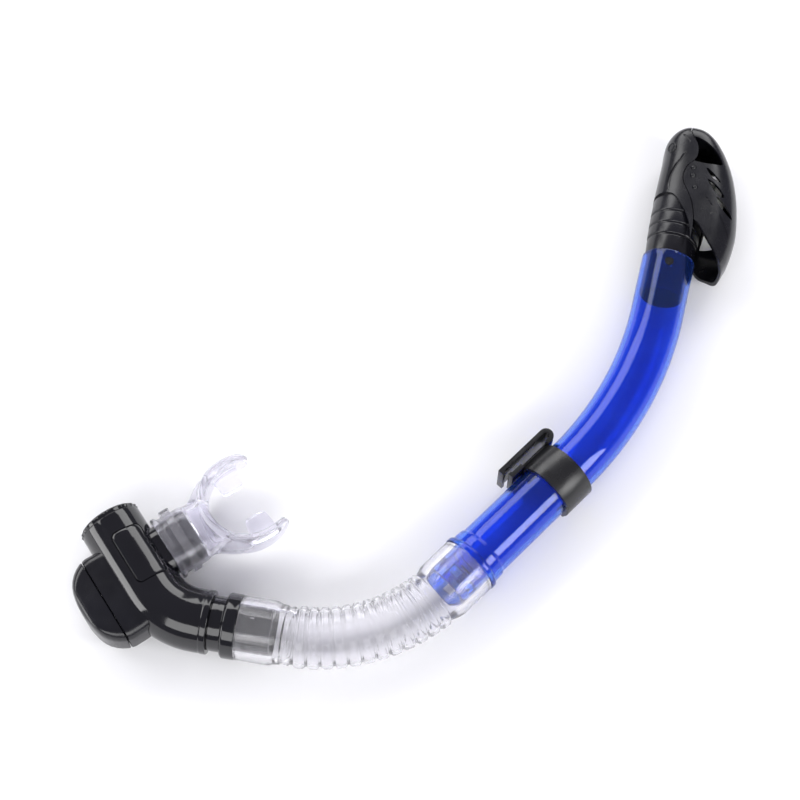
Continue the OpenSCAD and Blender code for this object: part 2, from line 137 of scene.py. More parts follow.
def add_mesh(name, verts, faces, place=IDENTITY, sharp=32):
    """A mesh object from points in millimetres in a local frame; its points end up in the row frame."""
    mesh = bpy.data.meshes.new(name)
    mesh.from_pydata([place @ (Vector(v) * MM) for v in verts], [], faces)
    obj = bpy.data.objects.new(name, mesh)
    bpy.context.scene.collection.objects.link(obj)
    clean(obj, sharp)
    return obj


def clean(obj, sharp=32, merge=1e-7):
    """Joins doubled points, turns faces outwards and shades smooth up to an angle."""
    bm = bmesh.new()
    bm.from_mesh(obj.data)
    bmesh.ops.remove_doubles(bm, verts=bm.verts, dist=merge)
    bmesh.ops.dissolve_degenerate(bm, edges=bm.edges, dist=merge)
    bmesh.ops.recalc_face_normals(bm, faces=bm.faces)
    bm.to_mesh(obj.data)
    bm.free()
    obj.data.shade_smooth()
    obj.data.set_sharp_from_angle(angle=math.radians(sharp))


def apply_modifiers(obj, sharp=32):
    graph = bpy.context.evaluated_depsgraph_get()
    mesh = bpy.data.meshes.new_from_object(obj.evaluated_get(graph))
    old = obj.data
    obj.modifiers.clear()
    obj.data = mesh
    bpy.data.meshes.remove(old)
    clean(obj, sharp)
    return obj


def boolean(obj, others, operation="DIFFERENCE", sharp=32):
    """Cuts or adds other objects, which are used up."""
    for other in others:
        step = obj.modifiers.new("step", "BOOLEAN")
        step.operation = operation
        step.solver = "EXACT"
        step.object = other
    apply_modifiers(obj, sharp)
    for other in others:
        mesh = other.data
        bpy.data.objects.remove(other)
        bpy.data.meshes.remove(mesh)
    return obj


def bevel(obj, width, segments=2, angle=32):
    step = obj.modifiers.new("bevel", "BEVEL")
    step.width = width * MM
    step.segments = segments
    step.limit_method = "ANGLE"
    step.angle_limit = math.radians(angle)
    step.harden_normals = False
    return apply_modifiers(obj, angle)


def fillet(points, steps=4, closed=True):
    """Rounds the corners of an outline of (a, b, size) points; size 0 keeps a corner sharp."""
    out = []
    count = len(points)
    for i, point in enumerate(points):
        here = Vector(point[:2])
        size = point[2] if len(point) > 2 else 0
        if size == 0 or (not closed and i in (0, count - 1)):
            out.append(tuple(here))
            continue
        back = Vector(points[i - 1][:2]) - here
        ahead = Vector(points[(i + 1) % count][:2]) - here
        first = here + back.normalized() * min(size, back.length * 0.48)
        last = here + ahead.normalized() * min(size, ahead.length * 0.48)
        for k in range(steps + 1):
            t = k / steps
            out.append(tuple(first * (1 - t) ** 2 + here * (2 * t * (1 - t)) + last * t * t))
    return out


def densify(points, step):
    """Splits the long edges of a closed outline so that it can follow a bend."""
    out = []
    for i, a in enumerate(points):
        b = points[(i + 1) % len(points)]
        parts = max(1, math.ceil(abs(b[0] - a[0]) / step))
        out += [(a[0] + (b[0] - a[0]) * k / parts, a[1] + (b[1] - a[1]) * k / parts)
                for k in range(parts)]
    return out


def turned(name, outline, place, path=STRAIGHT, segments=96, shape=None, sharp=32):
    """Turns a closed outline of (distance, radius) points about a path."""
    verts, faces = [], []
    for s, r in outline:
        x, y, a = path(s)
        for k in range(segments):
            turn = 2 * math.pi * k / segments
            radius = shape(s, r, turn) if shape else r
            side = radius * math.cos(turn)
            verts.append((x - math.sin(a) * side, y + math.cos(a) * side, radius * math.sin(turn)))
    rings = len(outline)
    for i in range(rings):
        for k in range(segments):
            j, m = (i + 1) % rings, (k + 1) % segments
            faces.append((i * segments + k, j * segments + k, j * segments + m, i * segments + m))
    return add_mesh(name, verts, faces, place, sharp)


def loft(name, rings, place, capped=True, closed=False, sharp=32):
    """Skins equal rings of points; capped closes the first and the last ring."""
    verts = [p for ring in rings for p in ring]
    size = len(rings[0])
    faces = []
    for i in range(len(rings) if closed else len(rings) - 1):
        j = (i + 1) % len(rings)
        faces += [(i * size + k, i * size + (k + 1) % size,
                   j * size + (k + 1) % size, j * size + k) for k in range(size)]
    if capped and not closed:
        faces.append(tuple(range(size)))
        faces.append(tuple((len(rings) - 1) * size + k for k in range(size)))
    return add_mesh(name, verts, faces, place, sharp)


def prism(name, outline, z0, z1, place, sharp=32):
    return loft(name, [[(x, y, z0) for x, y in outline], [(x, y, z1) for x, y in outline]],
                place, sharp=sharp)


def round_cutter(name, radius, sides, place):
    """Round bar through a wall that stands 5 to 20 mm from the place, along its Z."""
    return prism(name, [(radius * math.cos(a), radius * math.sin(a))
                        for a in (2 * math.pi * k / sides for k in range(sides))], 5, 20, place)


def rounded_rect(w, h, r, steps=6, cx=0.0, cy=0.0):
    """Closed outline of a rectangle with round corners."""
    out = []
    for i, (sx, sy) in enumerate(((1, 1), (-1, 1), (-1, -1), (1, -1))):
        for k in range(steps + 1):
            a = math.pi / 2 * (i + k / steps)
            out.append((cx + sx * (w / 2 - r) + r * math.cos(a),
                        cy + sy * (h / 2 - r) + r * math.sin(a)))
    return out


def stadium(half, r, steps=24):
    """Closed outline of a slot shape, long along its first axis."""
    out = []
    for side in (1, -1):
        for k in range(steps + 1):
            a = -math.pi / 2 + math.pi * k / steps
            out.append((side * (half + r * math.cos(a)), side * r * math.sin(a)))
    return out


def box_cutter(name, place, centre, size):
    """A plain block used only to cut."""
    x, y, z = (s / 2 for s in size)
    cx, cy, cz = centre
    ring = [(cx - x, cy - y), (cx + x, cy - y), (cx + x, cy + y), (cx - x, cy + y)]
    return prism(name, ring, cz - z, cz + z, place)


def spigot_windows(place, s, length, width, count=6):
    return [box_cutter(f"window_{i}", place @ Matrix.Rotation(2 * math.pi * i / count, 4, "X"),
                       (s, 0, SPIGOT_R), (length, width, 5)) for i in range(count)]


def smooth_curve(points, closed=False, steps=6):
    """Run of points on a smooth curve through the given ones."""
    count = len(points)
    out = []
    for i in range(count if closed else count - 1):
        ends = [points[(i + k) % count] if closed else points[min(max(i + k, 0), count - 1)]
                for k in (-1, 0, 1, 2)]
        p0, p1, p2, p3 = (Vector(e) for e in ends)
        for k in range(steps):
            t = k / steps
            out.append(tuple(0.5 * (2 * p1 + (p2 - p0) * t + (2 * p0 - 5 * p1 + 4 * p2 - p3) * t * t
                                    + (3 * p1 - p0 - 3 * p2 + p3) * t ** 3)))
    if not closed:
        out.append(tuple(points[-1]))
    return out


def looked_up(table, x):
    """Value at x on straight lines between (x, value) points in rising order."""
    if x <= table[0][0]:
        return table[0][1]
    for (x0, y0), (x1, y1) in zip(table, table[1:]):
        if x <= x1:
            return y0 + (y1 - y0) * (x - x0) / (x1 - x0)
    return table[-1][1]


def swept_bar(name, points, radius, place, sides=14):
    """Round bar along a run of 3-D points, thinner at its ends; used to cut grooves."""
    rings = []
    count = len(points)
    for i, point in enumerate(points):
        ahead = Vector(points[min(i + 1, count - 1)]) - Vector(points[max(i - 1, 0)])
        along = ahead.normalized()
        side = along.cross(Vector((0, 0, 1))).normalized()
        over = side.cross(along)
        size = radius * min(1.0, 0.25 + 1.5 * min(i, count - 1 - i) / max(1, 0.25 * count))
        rings.append([tuple(Vector(point) + (side * math.cos(a) + over * math.sin(a)) * size)
                      for a in (2 * math.pi * k / sides for k in range(sides))])
    return loft(name, rings, place)


def ball(name, centre, radius, place):
    """Round cutter for dimples."""
    outline = [(radius * math.cos(a), radius * math.sin(a))
               for a in (math.pi * k / 14 for k in range(15))]
    return turned(name, outline, place @ Matrix.Translation(Vector(centre) * MM), STRAIGHT, 24)


def smoothstep(a, b, x):
    t = min(1.0, max(0.0, (x - a) / (b - a)))
    return t * t * (3 - 2 * t)


# ---------------------------------------------------------------- materials


def node_tree(name):
    mat = bpy.data.materials.new(name)
    mat.use_nodes = True
    nodes, links = mat.node_tree.nodes, mat.node_tree.links
    shader = nodes["Principled BSDF"]
    place = nodes.new("ShaderNodeTexCoord")
    return mat, nodes, links, shader, place.outputs["Object"]


def noise(nodes, links, place, scale, detail=3.0, rough=0.5):
    tex = nodes.new("ShaderNodeTexNoise")
    tex.inputs["Scale"].default_value = scale
    tex.inputs["Detail"].default_value = detail
    tex.inputs["Roughness"].default_value = rough
    links.new(place, tex.inputs["Vector"])
    return tex.outputs["Fac"]


def ranged(nodes, links, value, low_out, high_out, low_in=0.3, high_in=0.7):
    node = nodes.new("ShaderNodeMapRange")
    node.inputs["From Min"].default_value = low_in
    node.inputs["From Max"].default_value = high_in
    node.inputs["To Min"].default_value = low_out
    node.inputs["To Max"].default_value = high_out
    links.new(value, node.inputs["Value"])
    return node.outputs["Result"]


def tinted(nodes, links, value, dark, light):
    ramp = nodes.new("ShaderNodeValToRGB")
    ramp.color_ramp.elements[0].position = 0.3
    ramp.color_ramp.elements[1].position = 0.7
    ramp.color_ramp.elements[0].color = (*dark, 1)
    ramp.color_ramp.elements[1].color = (*light, 1)
    links.new(value, ramp.inputs["Fac"])
    return ramp.outputs["Color"]


def bumped(nodes, links, shader, height, strength, distance):
    node = nodes.new("ShaderNodeBump")
    node.inputs["Strength"].default_value = strength
    node.inputs["Distance"].default_value = distance
    links.new(height, node.inputs["Height"])
    links.new(node.outputs["Normal"], shader.inputs["Normal"])


def moulded_plastic(name, dark, light, rough, grain, grain_depth, coat=0.0):
    """Moulded plastic: slow colour and gloss drift, and a fine moulding grain."""
    mat, nodes, links, shader, place = node_tree(name)
    drift = noise(nodes, links, place, 60)
    links.new(tinted(nodes, links, drift, dark, light), shader.inputs["Base Color"])
    links.new(ranged(nodes, links, noise(nodes, links, place, 140, 4), rough[0], rough[1]),
              shader.inputs["Roughness"])
    shader.inputs["Coat Weight"].default_value = coat
    shader.inputs["Coat Roughness"].default_value = 0.06
    bumped(nodes, links, shader, noise(nodes, links, place, grain, 2), 0.25, grain_depth)
    return mat


def clear_plastic(name, dark, light, rough, ior, transmission, ripple):
    """See-through plastic or silicone with a faint flow ripple in its surface."""
    mat, nodes, links, shader, place = node_tree(name)
    drift = noise(nodes, links, place, 45)
    links.new(tinted(nodes, links, drift, dark, light), shader.inputs["Base Color"])
    links.new(ranged(nodes, links, noise(nodes, links, place, 120, 4), rough[0], rough[1]),
              shader.inputs["Roughness"])
    shader.inputs["IOR"].default_value = ior
    shader.inputs["Transmission Weight"].default_value = transmission
    bumped(nodes, links, shader, noise(nodes, links, place, 90, 2), 0.2, ripple)
    return mat


def brushed_metal(name):
    mat, nodes, links, shader, place = node_tree(name)
    drift = noise(nodes, links, place, 900, 3)
    links.new(tinted(nodes, links, drift, (0.5, 0.5, 0.52), (0.7, 0.7, 0.72)),
              shader.inputs["Base Color"])
    links.new(ranged(nodes, links, drift, 0.2, 0.4), shader.inputs["Roughness"])
    shader.inputs["Metallic"].default_value = 1.0
    return mat


TUBE_BLUE = clear_plastic("tube_blue", (0.07, 0.2, 0.86), (0.09, 0.24, 0.92), (0.02, 0.04),
                          1.42, 0.96, 0.00001)
GLOSS_BLACK = moulded_plastic("gloss_black_plastic", (0.003, 0.003, 0.0045), (0.005, 0.005, 0.007),
                              (0.07, 0.12), 400, 0.000005, 0.2)
SATIN_BLACK = moulded_plastic("satin_black_plastic", (0.003, 0.003, 0.0045), (0.006, 0.006, 0.009),
                              (0.2, 0.28), 900, 0.00001)
KEEPER_BLACK = moulded_plastic("keeper_black", (0.008, 0.008, 0.009), (0.014, 0.014, 0.015),
                               (0.24, 0.34), 1100, 0.00002)
SILICONE = clear_plastic("clear_silicone", (0.965, 0.96, 0.99), (0.985, 0.98, 1.0), (0.05, 0.12),
                         1.36, 0.94, 0.00003)
MOUTH_SILICONE = clear_plastic("mouth_silicone", (0.87, 0.86, 0.94), (0.9, 0.89, 0.96),
                               (0.12, 0.2), 1.36, 0.93, 0.00003)
SOFT_SEAL = moulded_plastic("seal_silicone", (0.7, 0.72, 0.78), (0.8, 0.82, 0.86),
                            (0.4, 0.5), 700, 0.00002)
FLOAT_WHITE = moulded_plastic("float_plastic", (0.6, 0.6, 0.56), (0.72, 0.72, 0.68),
                              (0.4, 0.5), 800, 0.00002)
RUBBER = moulded_plastic("o_ring_rubber", (0.015, 0.015, 0.015), (0.03, 0.03, 0.03),
                         (0.5, 0.65), 1200, 0.00003)
STEEL = brushed_metal("pin_steel")


def dress(obj, mat):
    obj.data.materials.clear()
    obj.data.materials.append(mat)
    return obj


def install(obj, mat, body, nodes):
    """Gives a finished piece its material, its body and the CAD node it stands for."""
    dress(obj, mat)
    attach(obj, body)
    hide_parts(*nodes)
    return obj


# ---------------------------------------------------------------- tube and hose


def blue_tube():
    """Barrel tube: flange, thickened end, windowed spigot and the hole for the lock pin."""
    outline = fillet([
        (-SPIGOT_LEN, SPIGOT_R, 0.4), (0, SPIGOT_R), (0, FLANGE_R, 0.4), (2.2, FLANGE_R, 0.5),
        (2.9, 13.4, 0.4), (8, 13.2, 0.8), (9, TUBE_R, 0.8), (TUBE_LEN, TUBE_R, 0.4),
        (TUBE_LEN, TUBE_BORE, 0.3), (3, TUBE_BORE, 0.6), (3, SPIGOT_BORE, 0.3),
        (-SPIGOT_LEN, SPIGOT_BORE, 0.3)])
    tube = turned("blue_tube", densify(outline, 3), AT_FLANGE, TUBE_PATH, 128)
    hole = round_cutter("lock_hole", 2.2, 32, AT_FLANGE @ frame_at(TUBE_PATH, TUBE_LEN - 6.5))
    boolean(tube, spigot_windows(AT_FLANGE, -9, 4, 5) + [hole])
    return install(tube, TUBE_BLUE, "barrel", ["barrel_tube"])


def hose_outline():
    """Outside and bore of the silicone hose along its length."""
    first, last = UPPER_CUFF, HOSE_LEN - LOWER_CUFF - 9
    pitch = (last - first) / CORRUGATIONS
    wall = 1.7
    outside = fillet([(0.05, CUFF_BORE), (0.05, CUFF_R, 0.8), (UPPER_CUFF - 5, CUFF_R, 1.5),
                      (UPPER_CUFF - 1, ROOT_R + 0.5, 1)], closed=False)
    steps = 12
    ridges = []
    for i in range(CORRUGATIONS):
        for k in range(steps):
            t = k / steps
            lift = smoothstep(0.04, 0.24, t) - smoothstep(0.76, 0.96, t)
            ridges.append((first + (i + t) * pitch, ROOT_R + lift * (CREST_R - ROOT_R)))
    end = HOSE_LEN - LOWER_CUFF
    taper = fillet([(last, ROOT_R), (last + 1, ROOT_R), (last + 1.6, 12.9, 0.3),
                    (last + 2.8, 12.9, 0.3), (last + 3.4, 12.5), (last + 4.6, 12.5),
                    (last + 5.2, 13.1, 0.3), (end - 1.5, 13.2, 0.5), (end + 1, CUFF_R, 1),
                    (HOSE_LEN - 0.05, CUFF_R, 0.6), (HOSE_LEN - 0.05, CUFF_BORE)], closed=False)
    inner = [(s, r - wall) for s, r in ridges]
    bore = [(end, CUFF_BORE)] + inner[::-1] + [(SPIGOT_LEN + 1.5, CUFF_BORE)]
    return outside + ridges + taper + bore


def silicone_hose():
    hose = turned("silicone_hose", densify(hose_outline(), 2.5), AT_FLANGE, HOSE_PATH, 112,
                  sharp=60)
    dress(hose, SILICONE)
    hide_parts("hose")
    start = AT_FLANGE @ frame_at(HOSE_PATH, UPPER_CUFF - 4)
    end = AT_FLANGE @ frame_at(HOSE_PATH, HOSE_LEN - LOWER_CUFF - 3)
    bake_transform(hose)
    return hose


# ---------------------------------------------------------------- swivel and chamber


def connector():
    """Ring flange, neck, bearing and windowed spigot of the swivel."""
    start = HOSE_END - LOWER_CUFF + 1.5
    neck = HOSE_END + RING_LEN
    outline = fillet([
        (start, SPIGOT_R, 0.4), (start + 2.4, SPIGOT_R), (start + 2.6, SPIGOT_R - 0.5),
        (start + 3.4, SPIGOT_R - 0.5), (start + 3.6, SPIGOT_R), (HOSE_END, SPIGOT_R),
        (HOSE_END, FLANGE_R - 0.1, 0.5), (neck - 1, FLANGE_R, 0.5), (neck, FLANGE_R - 0.9, 0.4),
        (neck, NECK_R, 0.4), (RIM_AT - 0.3, NECK_R, 0.3), (RIM_AT - 0.3, BEARING_R),
        (RIM_AT + BEARING_LEN + 1.1, BEARING_R, 0.3), (RIM_AT + BEARING_LEN + 1.1, SPIGOT_BORE, 0.3),
        (start, SPIGOT_BORE, 0.3)])
    obj = turned("swivel_ring", densify(outline, 4), AT_CONNECTOR, STRAIGHT, 112)
    notches = [box_cutter(f"notch_{i}", AT_CONNECTOR @ Matrix.Rotation(math.pi / 3 * i, 4, "X"),
                          (neck, 0, FLANGE_R), (1.6, 3.2, 1.2)) for i in range(6)]
    boolean(obj, spigot_windows(AT_CONNECTOR, HOSE_END - 5, 4, 5) + notches)
    return install(obj, GLOSS_BLACK, "connector", ["swivel_connector"])


def oval(outline, v):
    """Ring of an oval lying across the mouthpiece's axis, at a distance along it."""
    return [(v, a, b) for a, b in outline]


def oval_pipe(name, half, stations, bore, place):
    """Oval pipe along the mouthpiece's axis from (distance, radius) stations, with a bore."""
    outside = [oval(stadium(half, r), d) for d, r in stations]
    inside = [oval(stadium(half, bore), d) for d in (stations[-1][0], stations[0][0])]
    return loft(name, outside + inside, place, capped=False, closed=True)


def panel_plate(name, length, width, radius, depth, place, gap=0.0, edge=0.35):
    """Plate with round corners, bent round the chamber's axis; its top stands at the radius."""
    levels = [(gap, -depth), (gap, -edge), (gap + edge * 0.3, -edge * 0.3), (gap + edge, 0)]
    levels += [(gap + edge + i * 1.1, 0) for i in range(1, 6)]
    rings = []
    for inset, height in levels:
        flat = rounded_rect(length - 2 * inset, width - 2 * inset, max(0.3, 2.6 - inset * 0.5), 6)
        dense = []
        for i, a in enumerate(flat):
            b = flat[(i + 1) % len(flat)]
            parts = 8 if math.dist(a, b) > 2 else 1
            dense += [(a[0] + (b[0] - a[0]) * k / parts, a[1] + (b[1] - a[1]) * k / parts)
                      for k in range(parts)]
        rings.append([(x, (radius + height) * math.sin(y / CHAMBER_R),
                       (radius + height) * math.cos(y / CHAMBER_R)) for x, y in dense])
    return loft(name, rings, place)


def chamber():
    """Elbow and barrel with the oval mouthpiece neck, the purge port and the panel's pocket."""
    end = BARREL_AT + CHAMBER_LEN - CAP_T
    outline = fillet([
        (0, CHAMBER_R + 0.1, 0.5), (2.6, CHAMBER_R + 0.15, 0.3), (3.2, CHAMBER_R - 0.1, 0.3),
        (3.8, CHAMBER_R), (end, CHAMBER_R, 0.3), (end, CHAMBER_BORE), (BEARING_LEN, CHAMBER_BORE),
        (BEARING_LEN, BEARING_BORE), (0, BEARING_BORE, 0.3)])
    body = turned("chamber_shell", densify(outline, 2.5), AT_RIM, ELBOW_PATH, 128)
    neck = oval_pipe("neck", NECK_HALF, [(CHAMBER_BORE - 1, NECK_OUT), (NECK_REACH - 2.6, NECK_OUT),
                                         (NECK_REACH - 2.2, NECK_OUT), (NECK_REACH, NECK_OUT - 0.5)],
                     NECK_BORE, AT_MOUTH)
    boolean(body, [neck], "UNION")
    inside = loft("airway", [oval(stadium(NECK_HALF, NECK_BORE), 5),
                             oval(stadium(NECK_HALF, NECK_BORE), CHAMBER_R + 4)], AT_MOUTH)
    port = round_cutter("port", 7, 48, AT_CHAMBER @ flat_turn(6, 0, 0)
                        @ Matrix.Rotation(-math.pi / 2, 4, "X"))
    pocket = panel_plate("pocket", PANEL_LEN, PANEL_W, CHAMBER_R + 3, 4, panel_place())
    boolean(body, [inside, port, pocket])
    return install(body, GLOSS_BLACK, "chamber", ["chamber_body"])


def panel_place():
    return (AT_CHAMBER @ flat_turn(PANEL_AT, 0, 0)
            @ Matrix.Rotation(math.radians(PANEL_TURN), 4, "X"))


def cover_panel():
    plate = panel_plate("cover_panel_plate", PANEL_LEN, PANEL_W, CHAMBER_R + 0.05, 0.95,
                        panel_place(), 0.35)
    return install(plate, GLOSS_BLACK, "chamber", ["cover_panel"])


def end_cap():
    """Cap with a knurled edge, a dished face and a plug in the barrel."""
    face = CHAMBER_LEN - CAP_T

    def knurl(s, r, turn):
        edge = smoothstep(face + 0.3, face + 0.7, s) - smoothstep(CHAMBER_LEN - 0.9, CHAMBER_LEN, s)
        if r < CHAMBER_R - 1.4:
            return r
        return r + 0.55 * edge * max(0.0, math.cos(24 * turn)) ** 0.7

    outline = fillet([
        (face - 6, 9.5, 0.2), (face - 6, CHAMBER_BORE - 0.1, 0.4), (face, CHAMBER_BORE - 0.1),
        (face, CHAMBER_R - 0.3, 0.3), (CHAMBER_LEN, CHAMBER_R - 0.3, 0.9),
        (CHAMBER_LEN, CHAMBER_R - 1.9, 0.2), (CHAMBER_LEN - 0.5, CHAMBER_R - 2.4, 0.3),
        (CHAMBER_LEN - 0.9, 4, 1.0), (CHAMBER_LEN - 1.0, 0.0), (face - 1, 0.0), (face - 1, 9.5)])
    cap = turned("end_cap_knurled", outline, AT_CHAMBER, STRAIGHT, 192, knurl)
    return install(cap, GLOSS_BLACK, "chamber", ["end_cap"])


# ---------------------------------------------------------------- purge box


PURGE_HALF = [(7, 21.0), (12, 21.5), (18, 21.6), (21, 20.8), (23.5, 19.4), (25.5, 17.8),
              (27.3, 15.8), (28.8, 13.4), (29.9, 10.6), (30.6, 7.6), (31, 4.4)]


def purge_ring(v, inset=0.0):
    """Section of the purge box at a distance from the chamber's axis."""
    edge = 3.2
    out = max(0.0, v - (PURGE_REACH - edge))
    half_u = looked_up(PURGE_HALF, v) - inset
    half_z = PURGE_W / 2 - edge + math.sqrt(max(0.02, edge ** 2 - out ** 2)) - inset
    ring = rounded_rect(2 * half_u, 2 * half_z, min(5.0, half_z * 0.7, half_u * 0.7), 8, PURGE_U)
    return [(x, v, z) for x, z in ring]


def purge_housing():
    rings = [purge_ring(v) for v in (7, 9, 12, 14, 16, 18, PURGE_SPLIT - 0.45)]
    rings += [purge_ring(PURGE_SPLIT - 0.15, 0.35), purge_ring(PURGE_SPLIT - 0.15, 2)]
    rings += [purge_ring(v, 2) for v in (16, 12, 7)]
    box = loft("purge_housing_box", rings, AT_CHAMBER, capped=False, closed=True)
    end = BARREL_AT + CHAMBER_LEN
    inside = turned("inside", densify([(-8, 0.0), (-8, CHAMBER_R), (end, CHAMBER_R), (end, 0.0)],
                                      2.5), AT_RIM, ELBOW_PATH, 96)
    boolean(box, [inside])
    return install(box, SATIN_BLACK, "chamber", ["purge_housing"])


def purge_cover():
    """Outer cover with its parting line and the vents in its underside."""
    start = PURGE_SPLIT + 0.15
    steps = [start + 0.3 + (PURGE_REACH - start - 0.3) * math.sin(math.pi / 2 * i / 26)
             for i in range(27)]
    rings = [purge_ring(start, 0.35)] + [purge_ring(v) for v in steps]
    cover = loft("purge_cover_shell", rings, AT_CHAMBER)
    inside = loft("hollow", [purge_ring(PURGE_SPLIT - 3, 2), purge_ring(PURGE_REACH - 6, 2),
                             purge_ring(PURGE_REACH - 2.5, 3)], AT_CHAMBER)
    vents = [box_cutter(f"vent_{i}", AT_CHAMBER,
                        (PURGE_U + (i - 3) * 4, PURGE_SPLIT + 5, -PURGE_W / 2), (1.8, 6, 6))
             for i in range(7)]
    boolean(cover, [inside] + vents)
    return install(cover, SATIN_BLACK, "chamber", ["purge_cover"])


# ---------------------------------------------------------------- mouthpiece


BITE_LINE = [(67.0, -17.0), (63.0, -18.8), (57.5, -19.6), (51.5, -18.9), (46.5, -16.8),
             (42.4, -13.2), (39.8, -8.8), (38.3, -4.2), (37.9, 0.0)]
BITE_LINE += [(reach, -side) for reach, side in reversed(BITE_LINE[:-1])]


def bite_flange():
    """Horseshoe sheet that curves round the teeth, lower at its tips, with rolled edges."""
    line = smooth_curve(BITE_LINE, steps=5)
    rings = []
    for i, (reach, side) in enumerate(line):
        t = abs(2 * i / (len(line) - 1) - 1)
        ahead = Vector(line[min(i + 1, len(line) - 1)]) - Vector(line[max(i - 1, 0)])
        out = Vector((-ahead.y, ahead.x)).normalized()
        height = BITE_H / 2 * (1 - 0.36 * t ** 2.4)
        if t > 0.86:
            height *= math.sqrt(max(0.05, 1 - ((t - 0.86) / 0.145) ** 2))
        thick = 1.5 + 0.5 * (1 - t)
        ring = []
        for k in range(32):
            a = 2 * math.pi * k / 32
            z = height * math.copysign(abs(math.sin(a)) ** 0.75, math.sin(a))
            roll = thick * (1 + 0.3 * abs(math.sin(a)) ** 6)
            off = roll * math.copysign(abs(math.cos(a)) ** 0.6, math.cos(a))
            at = Vector((reach - (z / BITE_H * 2) ** 2, side)) + out * off
            ring.append((at.x, at.y, z))
        rings.append(ring)
    return loft("bite_flange", rings, AT_MOUTH)


def bite_tab(side):
    """Flat ridged tab from the flange's wing, where the teeth hold it."""
    stations = [(19.0, 12.0, 5.2), (16.0, 12.2, 5.2), (14.2, 12.0, 5.4), (12.8, 11.6, 6.2),
                (11.9, 11.4, 5.4), (10.9, 11.2, 6.2), (10.0, 11.0, 5.4), (9.1, 10.6, 6.0),
                (8.2, 9.6, 5.2), (7.6, 8.2, 4.2)]
    rings = [[(55.0 + a - side * 0.5, side * y, b) for a, b in rounded_rect(w, h, 1.4, 4)]
             for y, w, h in stations]
    return loft(f"bite_tab_{side}", rings, AT_MOUTH)


def funnel():
    """Sleeve over the chamber's neck that spreads into the flange's two wings."""
    stations = [(CHAMBER_R + 0.8, 3.8, 11.0), (CHAMBER_R + 1.2, 3.8, 11.5),
                (CHAMBER_R + 2.8, 3.8, 11.5), (CHAMBER_R + 3.6, 3.8, 10.1),
                (21, 3.8, 10.1), (25, 3.8, 10.1), (NECK_REACH - 0.5, 3.8, 10.1),
                (NECK_REACH + 0.6, 3.8, 9.6), (31.5, 4.1, 8.9), (34, 5.0, 8.9), (36.6, 6.6, 9.1),
                (39.2, 8.2, 9.5), (42, 9.6, 9.6), (45, 10.4, 9.4), (48, 10.9, 9.0),
                (50.5, 11.2, 8.2)]
    spread = loft("funnel", [oval(stadium(half, r), d) for d, half, r in stations], AT_MOUTH)
    inner = [(reach + 0.4, side * 0.93) for reach, side in smooth_curve(BITE_LINE, steps=5)]
    return boolean(spread, [prism("bite_gap", inner, -20, 20, AT_MOUTH)], sharp=60)


def mouthpiece():
    body = funnel()
    boolean(body, [bite_flange(), bite_tab(1), bite_tab(-1)], "UNION", 60)
    bore = loft("mouth_bore", [oval(stadium(NECK_HALF, NECK_OUT + 0.02), 10),
                               oval(stadium(NECK_HALF, NECK_OUT + 0.02), NECK_REACH + 0.1),
                               oval(stadium(NECK_HALF, NECK_OUT - 1.9), NECK_REACH + 0.8),
                               oval(stadium(NECK_HALF + 1.2, NECK_OUT - 2.6), 48)], AT_MOUTH)
    boolean(body, [bore], sharp=60)
    remesh = body.modifiers.new("voxels", "REMESH")
    remesh.mode = "VOXEL"
    remesh.voxel_size = 0.5 * MM
    smooth = body.modifiers.new("smooth", "SMOOTH")
    smooth.factor = 0.5
    smooth.iterations = 9
    apply_modifiers(body, 70)
    return install(body, MOUTH_SILICONE, "chamber", ["mouthpiece"])


def mouth_tie():
    """Clear band round the sleeve with a ratchet head at one end of the oval."""
    outer = fillet([(20.5, 10.05), (20.5, 11.4, 0.4), (24.5, 11.4, 0.4), (24.5, 10.05)],
                   closed=False)
    rings = [oval(stadium(NECK_HALF, r), d) for d, r in outer]
    band = loft("tie_band", rings, AT_MOUTH, capped=False, closed=True)
    head = loft("head", [[(22.5 + a, y, b) for a, b in rounded_rect(w, h, 0.8, 4)]
                         for y, w, h in ((NECK_HALF + 10.3, 5, 5.4), (NECK_HALF + 12.2, 5, 5.4),
                                         (NECK_HALF + 12.6, 4.2, 4.6))], AT_MOUTH)
    boolean(band, [head], "UNION", 50)
    return install(band, SILICONE, "chamber", ["mouthpiece_tie"])


# ---------------------------------------------------------------- keeper


def keeper():
    """Snap-on ring, open below, with the strap slot's arms beside it."""
    inner_r, outer_r = TUBE_R + 0.05, TUBE_R + KEEPER_WALL + 0.05
    half = math.radians(360 - 110) / 2
    angles = [math.pi / 2 - half + 2 * half * k / 72 for k in range(73)]
    outline = [(outer_r * math.cos(a), outer_r * math.sin(a)) for a in angles]
    outline += [(inner_r * math.cos(a), inner_r * math.sin(a)) for a in reversed(angles)]
    x0, x1 = KEEPER_X, KEEPER_X + KEEPER_LEN
    ring = loft("keeper_ring", [[(x, y, z) for y, z in outline] for x in (x0, x1)], AT_FLANGE)
    edge_r, edge = outer_r - 0.7, math.pi / 2 + half
    bead = loft("bead", [[(x, edge_r * math.cos(edge) + 1.2 * math.cos(a),
                           edge_r * math.sin(edge) + 1.2 * math.sin(a))
                          for a in (2 * math.pi * k / 24 for k in range(24))]
                         for x in (x0, x1)], AT_FLANGE)
    plates = keeper_arms()
    middle = (x0 + x1) / 2
    gaps = [box_cutter(f"gap_{side}", AT_FLANGE, (middle, TUBE_R + 1.6, side * 7),
                       (KEEPER_LEN + 0.6, 2.9, 6)) for side in (-1, 1)]
    boolean(plates, gaps)
    boolean(ring, [bead, plates], "UNION")
    bevel(ring, 0.4, 3)
    return install(ring, KEEPER_BLACK, "keeper", ["snorkel_keeper"])


